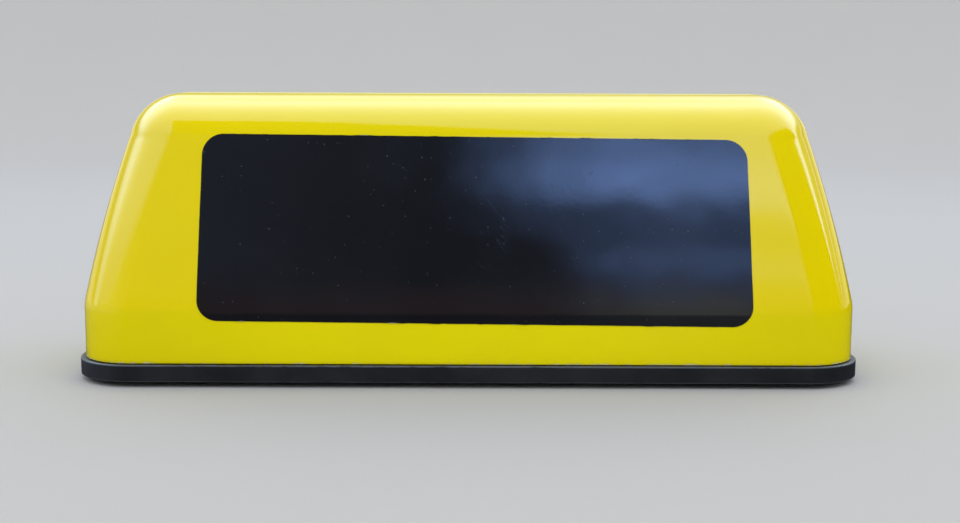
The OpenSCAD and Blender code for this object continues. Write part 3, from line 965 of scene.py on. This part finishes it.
hood_screw = make_screw("hood_screw_pattern", 4.0, 3.0, bottom=DECK_Z - 3.0, shaft_r=1.9, top=44.0)
magnet_screw = joined("magnet_screw_pattern",
                      make_screw("magnet_screw", 4.0, 0.8, bottom=0.2, shaft_r=2.0, top=14.8),
                      make_nut(12.0, height=2.4, radius=4.0, finish=ZINC))
small_screw = turned_over(make_screw("small_screw_pattern", 3.0, 2.0, bottom=-19.5, shaft_r=1.3, top=-11.0))
pot = turned("pot_pattern", eased([
    (2.1, 1.0, 0.2), (20.5, 1.0), (20.5, 6.0, 0.8), (6.0, 6.0, 0.4), (6.0, 9.45, 0.2), (2.1, 9.45, 0.1)], 0.3),
    ZINC, steps=16, closed=True)
boot = turned("boot_pattern", eased([
    (5.5, 0.0), (21.5, 0.0, 0.9), (21.5, 6.0), (20.5, 6.0, 0.2), (20.5, 1.0, 0.2), (5.5, 1.0, 0.2)], 0.3),
    RUBBER, steps=16, closed=True)
for i, (corner, sx, sy) in enumerate(CORNERS):
    by_screw, by_magnet = [(sx * SCREW_X, sy * SCREW_Y, 0)], [(sx * MAGNET_X, sy * MAGNET_Y, 0)]
    shown(set_out("cover_screw_" + corner, hood_screw, by_screw, ZINC, 3.1, i), "base", "zinc",
          "hood_screw_" + corner)
    shown(set_out("magnet_pot_" + corner, pot, by_magnet, ZINC), "base", "zinc", "magnet_" + corner)
    shown(set_out("rubber_boot_" + corner, boot, by_magnet, RUBBER), "base", "rubber", "magnet_boot_" + corner)
shown(set_out("magnet_foot_screws", magnet_screw, at_corners(MAGNET_X, MAGNET_Y), ZINC, 3.1, 7),
      "base", "zinc", "magnet_screws")
shown(set_out("reflector_fixings", small_screw, at_corners(POST_X, POST_Y), ZINC, 3.1, 9),
      "base", "zinc", "reflector_screws")

bush = turned("bush_pattern", eased([
    (3.5, 7.0, 0.8), (7.0, 7.0, 0.8), (8.5, 9.45, 0.4), (BUSH_HOLE, 9.45, 0), (BUSH_HOLE, 12.05, 0),
    (8.5, 12.05, 0.4), (7.0, 14.5, 0.8), (3.5, 14.5, 0.8)]), RUBBER, steps=12, closed=True)
shown(set_out("cable_bush", bush, [(BUSH_X, BUSH_Y, 0)], RUBBER), "base", "rubber", "cable_grommet")


# ---------------------------------------------------------------- reflector, rails and lamps
def make_reflector():
    """A folded tray: flat between two upturned lips, with rounded bends."""
    half, low, bend = TRAY_HALF_D - TRAY_T / 2, POST_TOP + TRAY_T / 2, 2.0
    side = [(half, TRAY_TOP), (half, low + bend)]
    side += [(half - bend + bend * math.cos(a), low + bend - bend * math.sin(a)) for a in quarter_bend()]
    line = [(-y, z) for y, z in side] + [(y, z) for y, z in reversed(side)]
    built = bmesh.new()
    columns = []
    for x in (-TRAY_HALF_W, 1 - TRAY_HALF_W, 0.0, TRAY_HALF_W - 1, TRAY_HALF_W):
        columns.append([built.verts.new((x * MM, y * MM, z * MM)) for y, z in line])
    for a, c in zip(columns, columns[1:]):
        for i in range(len(line) - 1):
            built.faces.new((a[i], c[i], c[i + 1], a[i + 1]))
    tray = from_bmesh("lamp_reflector", built, ENAMEL)
    tray = finished(tray, ("SOLIDIFY", {"thickness": TRAY_T * MM, "offset": 0.0}),
                    ("BEVEL", {"width": 0.3 * MM, "segments": 2, "limit_method": "ANGLE"}))
    return smooth(tray, 30)


def make_clip(side, middle):
    """A brass angle: an upright leaf with a hole for the lamp's cap, and a foot under the rail."""
    half, bend = CLIP_HALF_W, 2.5
    shoulder, centre = CLIP_TOP - bend, CLIP_HALF_W - bend
    curve = [(centre + bend * math.cos(a), shoulder + bend * math.sin(a)) for a in quarter_bend()]
    outline = [(-half, CLIP_FOOT_Z + 0.4), (half, CLIP_FOOT_Z + 0.4), (half, shoulder), *curve,
               *((-y, z) for y, z in reversed(curve)), (-half, shoulder)]
    leaf = plate("leaf", [outline, circle(0, LAMP_Z, 2.6, 28)], -CLIP_T / 2, CLIP_T / 2, BRASS, 0.12)
    out = (middle + side * CLIP_OUT) * MM
    reshaped(leaf, lambda y, z, x: (x + out, y, z))
    near_x, far_x = sorted((side * 20.1, side * 28.1))
    near_y, far_y = sorted((side * -4, side * 16.5))
    foot = block("foot", (middle + near_x, near_y, CLIP_FOOT_Z), (middle + far_x, far_y, RAIL_Z), BRASS, 0.15)
    return leaf, foot


def make_lamp(place, middle):
    """A festoon lamp lying along X: its glass, its two caps and coiled wire, and the clips that hold it."""
    parts = []
    for pattern, way in ((tube, 1), (cap, 1), (cap, -1)):
        part = put_in_scene("part", pattern.data.copy())
        parts.append(reshaped(part, lambda x, y, z: (way * z + middle * MM, y, -way * x + LAMP_Z * MM)))
    shown(joined("lamp_glass_" + place, parts[0]), "base", "lamp", "lamp_" + place)
    wire = run_tree(put_in_scene("wire", bpy.data.meshes.new("wire")), COIL, Length=15 * MM, Turns=26.0,
                    Coil_Radius=0.55 * MM, Wire_Radius=0.07 * MM, Middle=(middle * MM, 0.0, LAMP_Z * MM),
                    Finish=TUNGSTEN)
    half = 0.14
    leads = [block("lead", (middle + a, -half, LAMP_Z - half), (middle + c, half, LAMP_Z + half), TUNGSTEN, 0.05)
             for a, c in ((-12.5, -7.3), (7.3, 12.5))]
    shown(joined("lamp_caps_" + place, parts[1], parts[2], wire, *leads), "base", "zinc")
    clips = [piece for side in (1, -1) for piece in make_clip(side, middle)]
    shown(joined("clip_pair_" + place, *clips), "base", "brass", "lamp_clips_" + place)


shown(make_reflector(), "base", "reflector", "reflector")
for name, y, node in (("live_rail_strip", -RAIL_Y, "live_rail"), ("earth_rail_strip", RAIL_Y, "earth_rail")):
    low, high = (-RAIL_HALF, y - RAIL_W / 2, RAIL_Z), (RAIL_HALF, y + RAIL_W / 2, RAIL_Z + CLIP_T)
    shown(block(name, low, high, BRASS, 0.2), "base", "brass", node)

upper_glass = [(5.2, 7, 0), (5.15, 8.6, 0), (4.6, 10.6, 0), (3.5, 12.2, 0), (3.45, 13.0, 0)]
upper_bore = [(2.9, 13.0, 0), (2.95, 12.0, 0), (4.0, 10.4, 0), (4.6, 8.4, 0), (4.65, 7, 0)]
tube = turned("tube_pattern", [(r, -z, 0) for r, z, _ in reversed(upper_glass)] + upper_glass + upper_bore
              + [(r, -z, 0) for r, z, _ in reversed(upper_bore)], GLASS, steps=10, closed=True)
cap = eased([(0, 12.2), (3.6, 12.2, 0.1), (3.6, 18.3, 0.7), (1.6, 20.9, 0.5), (0, 21.0)], closed=False)
cap = turned("cap_pattern", cap, ZINC, steps=10)
for place, middle in (("left", -LAMP_X), ("centre", 0.0), ("right", LAMP_X)):
    make_lamp(place, middle)


# ---------------------------------------------------------------- wiring block
def make_wiring_block():
    """A moulded block with three chambers, a screw down each and a way through for the wires."""
    def at_terminals(name, pattern, z=0.0, finish=NYLON, spread=0.0, seed=1):
        pieces = set_out(name, pattern, [(x, TERMINAL_Y, z) for x in TERMINALS], finish, spread, seed)
        tossed(pattern)
        return pieces

    body = block("wiring_block", (95, 40, 12.0), (129, 52, 21.0), NYLON, 0.6)
    chamber = block("chamber", (-5, -3.5, 12.1), (5, 3.5, 25.0), NYLON, 0.7)
    body = cut_from(body, at_terminals("chambers", chamber), "UNION")
    bore = turned("bore", [(0, 20, 0), (2.0, 20, 0), (2.0, 30, 0), (0, 30, 0)], NYLON)
    body = cut_from(body, at_terminals("bores", bore))
    way = turned("way", [(0, -20, 0), (1.6, -20, 0), (1.6, 20, 0), (0, 20, 0)], NYLON)
    way = reshaped(way, lambda x, y, z: (x, z, -y))
    body = cut_from(body, at_terminals("ways", way, TERMINAL_Z))
    screw = turned_over(make_screw("clamp_screw", 1.85, 1.4, bottom=-22.9, shaft_r=1.2, top=-18.0, finish=BRASS))
    return joined("wiring_block", smooth(body), at_terminals("clamp_screws", screw, 0.0, BRASS, 3.1, 4))


shown(make_wiring_block(), "base", "nylon", "terminal_block")
tossed(hood_screw, magnet_screw, small_screw, pot, boot, bush, tube, cap)


# ---------------------------------------------------------------- studio
# Lower edge of the tent, in half turns up from the front horizon, from far left to far right.
TENT_EDGE = [(0.0, 0.16), (0.33, 0.175), (0.356, 0.19), (0.368, 0.342), (0.43, 0.335), (0.47, 0.3), (0.5, 0.265),
             (0.54, 0.21), (0.575, 0.155), (0.62, 0.15), (0.68, 0.18), (0.73, 0.22), (0.83, 0.3), (0.9, 0.4),
             (0.96, 0.5), (1.0, 0.62)]
# What stands in the room at the right, from the floor up to a fifth of a half turn, in fifths of full glow:
# a dim wall, a low pane, a tall pane.
ROOM_PANES = [(0.0, 0.02), (0.425, 0.03), (0.47, 0.1), (0.495, 0.24), (0.52, 0.3), (0.545, 0.22), (0.57, 0.16),
              (0.61, 0.18), (0.635, 0.4), (0.665, 0.82), (0.7, 0.96), (0.75, 0.7), (1.0, 0.6)]
# The tent's glow, from the front horizon over the top to the back horizon, in tenths.
TENT_GLOW = [(0.0, 0.2), (0.2, 0.21), (0.38, 0.26), (0.5, 0.42), (0.62, 0.62), (0.72, 0.6), (0.79, 0.42),
             (0.86, 0.14), (0.93, 0.07), (1.0, 0.04)]


def make_floor():
    """A pale floor that curves up into its own backdrop, a quarter round and then straight up."""
    flat, cove, top, steps = 1500, 800, 900, 24
    rise = [(flat + cove, top)]
    for i in range(steps + 1):
        turn = QUARTER * (1 - i / steps)
        rise.append((flat + cove * math.sin(turn), cove * (1 - math.cos(turn))))
    rise += [(flat * (1 - i / 6), 0.0) for i in range(1, 7)]
    floor = turned("studio_floor", [(r, z, 0.0) for r, z in rise], FLOOR, steps=24)
    floor.visible_glossy = False


def light_the_studio():
    """An even pale dome lights the sign. What its gloss mirrors is a wide tent overhead, cooler and brighter
    towards the back, with a slanting lower edge and a dim room below it."""
    world = bpy.data.worlds.new("studio_light")
    world.use_nodes = True
    scene.world = world
    b = Bench(world.node_tree)
    background = world.node_tree.nodes["Background"]
    across, back, up = b.parts(b.put("ShaderNodeTexCoord").outputs["Generated"])
    # Half turns from the front horizon, over the top, to the back horizon.
    over = b.math("DIVIDE", b.math("ARCTAN2", up, b.times(back, -1.0)), math.pi)
    off_middle = b.math("ABSOLUTE", across)

    def until(value, low, high, most=1.0, least=0.0):
        """Full up to one value, then fading out by the other."""
        return b.remap(value, low, high, most, least)

    # The tent, dimmer at its far left and at the middle of its back.
    edge = b.curve(b.math("MULTIPLY_ADD", across, 0.5, 0.5), TENT_EDGE)
    soft = b.remap(b.math("ABSOLUTE", b.plus(across, 0.2)), 0.05, 0.4, 0.007, 0.035)
    tent = b.remap(over, b.less(edge, soft), b.plus(edge, soft))
    glow = b.times(b.curve(over, TENT_GLOW), 10.0)
    far_left = b.times(until(across, -0.85, -0.55), until(up, 0.15, 0.45, 0.65, 0.1))
    glow = b.times(glow, b.less(1.0, far_left))
    middle_back = b.times(until(off_middle, 0.12, 0.38, 0.45), b.remap(over, 0.62, 0.7))
    glow = b.times(glow, b.less(1.0, middle_back))
    tint = b.mix(b.remap(over, 0.2, 0.45), (0.3, 0.5, 1.0), (0.55, 0.74, 1.0))
    bright = b.scaled(tint, glow)
    # Past the right end the tent shows only as a narrow strip, which fades towards the floor.
    strip = b.times(b.remap(across, 0.45, 0.65), until(up, 0.36, 0.48))
    bright = b.mix(b.times(strip, b.remap(over, 0.6, 0.7)), bright, (0.25, 0.35, 0.5))
    bright = b.mix(b.times(strip, until(up, 0.17, 0.32)), bright, (0.2, 0.28, 0.4))

    # The dim room in front: cooler at the left, panes at the right, nothing beyond them.
    room = b.mix(b.remap(across, -0.3, 0.0), (0.156, 0.18, 0.264), (0.078, 0.084, 0.108))
    low_right = b.times(b.remap(across, 0.05, 0.15), until(across, 0.19, 0.22))
    low_wall = b.mix(low_right, (0.17, 0.12, 0.125), (0.42, 0.4, 0.33))
    room = b.mix(until(over, 0.086, 0.098), room, low_wall)
    from_left = b.remap(over, 0.105, 0.12, 0.05, -0.03)
    right = b.times(b.remap(across, from_left, 0.13), until(across, 0.19, 0.24, 1.0, 0.6))
    panes = b.times(b.curve(b.times(over, 5.0), ROOM_PANES), 5.0)
    room = b.vector("ADD", room, b.scaled((0.27, 0.46, 1.0), b.times(panes, right)))
    for cover, colour in (
            (b.remap(over, 0.155, 0.185), (0.06, 0.066, 0.084)), (b.remap(across, 0.28, 0.4), (0.012,) * 3),
            (until(across, -0.9, -0.3), (0.45, 0.48, 0.57)), (until(up, -0.22, -0.08), (0.04, 0.048, 0.064))):
        room = b.mix(cover, room, colour)
    mirrored = b.mix(tent, room, bright)

    # The room behind is cool and dim, and paler to one side. A warm pale wall closes it off.
    behind = b.mix(b.remap(across, -0.3, 0.35), (0.16, 0.19, 0.27), (0.75, 0.95, 1.5))
    behind = b.mix(b.remap(over, 0.865, 0.885), behind, (0.2, 0.22, 0.28))
    mirrored = b.mix(b.remap(over, 0.82, 0.85), mirrored, behind)
    wall = b.mix(b.remap(off_middle, 0.18, 0.35), (0.8, 0.78, 0.42), (0.95, 0.93, 0.74))
    mirrored = b.mix(b.remap(over, 0.9, 0.95), mirrored, wall)

    dome = b.mix(b.remap(up, 0.0, 1.0), (1.35, 1.35, 1.35), (1.15, 1.15, 1.15))
    glossy = b.put("ShaderNodeLightPath").outputs["Is Glossy Ray"]
    b.feed(background.inputs["Color"], b.mix(glossy, dome, mirrored))


make_floor()
light_the_studio()
